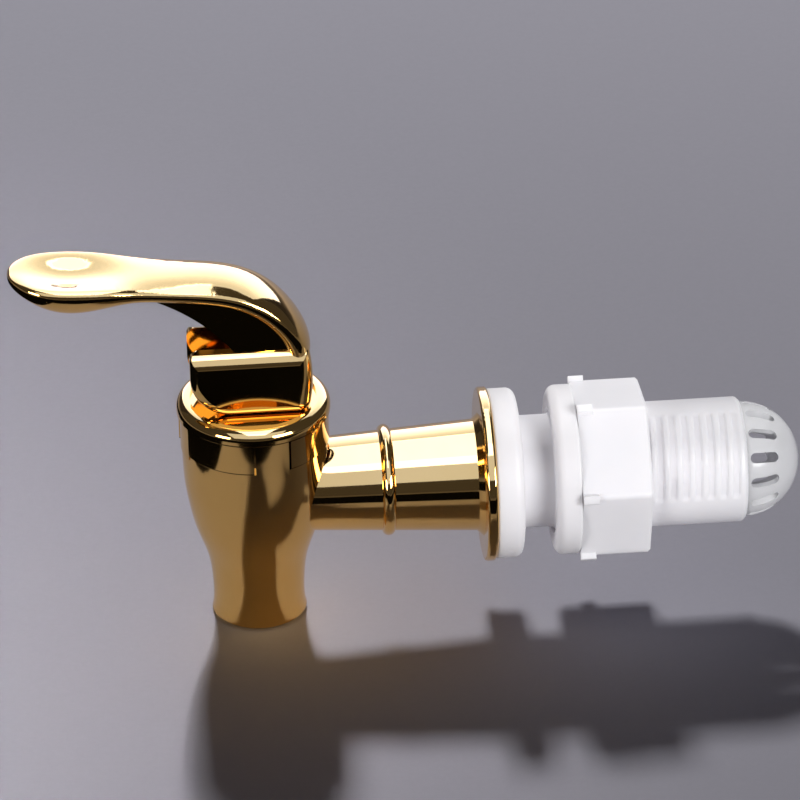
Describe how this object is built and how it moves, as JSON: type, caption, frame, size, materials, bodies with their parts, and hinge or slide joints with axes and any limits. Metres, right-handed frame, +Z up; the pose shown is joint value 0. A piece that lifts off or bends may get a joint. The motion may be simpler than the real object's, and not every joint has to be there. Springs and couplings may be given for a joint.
{
  "type": "beverage dispenser spigot",
  "caption": "Push-lever drinks tap with a vase-shaped plated body, short side tube with flange, and a white threaded shank with gaskets, lock nut and domed strainer.",
  "frame": {"origin": "on the shank's axis, in the plane of the flange gasket's sealing face, where the tap meets the vessel's wall", "axes": "+X along the shank into the vessel, +Z up, -X towards the user"},
  "size_m": [0.1231, 0.0292, 0.0633],
  "materials": {
    "plated_gold": "ABS with mirror-gloss gold plating",
    "white_acetal": "moulded acetal",
    "white_polypropylene": "milky moulded polypropylene",
    "silicone": "milky food-grade silicone",
    "spring_steel": "drawn stainless wire",
    "clear_plastic": "clear moulded plastic"
  },
  "bodies": {
    "tap_body": {"valve_body": "plated_gold", "bonnet_cap": "plated_gold", "gland_bush": "white_acetal", "return_spring": "spring_steel", "stem_o_ring": "silicone", "bonnet_o_ring": "silicone", "threaded_shank": "white_polypropylene", "shank_o_ring": "silicone", "flange_gasket": "silicone", "strainer_dome": "clear_plastic"},
    "stem": {"valve_stem": "white_acetal", "valve_plug": "silicone"},
    "lever": {"lever_handle": "plated_gold"},
    "washer": {"wall_gasket": "silicone"},
    "nut": {"lock_nut": "white_polypropylene"}
  },
  "joints": [
    {"name": "stem_lift", "type": "slide", "parent": "tap_body", "child": "stem", "axis": [0, 0, 1], "range_m": [0, 0.00186], "stiffness_N_per_m": 300, "springref_m": -0.005, "deforming": ["return_spring"]},
    {"name": "lever_press", "type": "hinge", "parent": "stem", "child": "lever", "pos_m": [-0.0414, 0, 0.0213], "axis": [0, -1, 0], "range_deg": [0, 30]},
    {"name": "washer_travel", "type": "slide", "parent": "tap_body", "child": "washer", "axis": [1, 0, 0], "range_m": [-0.00427, 0.0139]},
    {"name": "nut_turn", "type": "hinge", "parent": "washer", "child": "nut", "pos_m": [0.0145, 0, 0], "axis": [1, 0, 0], "range_deg": [-790, 2560]}
  ],
  "couplings": [
    {"joint": "lever_press", "follows": "stem_lift", "rad_per_m": 261.78},
    {"joint": "nut_turn", "follows": "washer_travel", "rad_per_m": 3141.6}
  ]
}
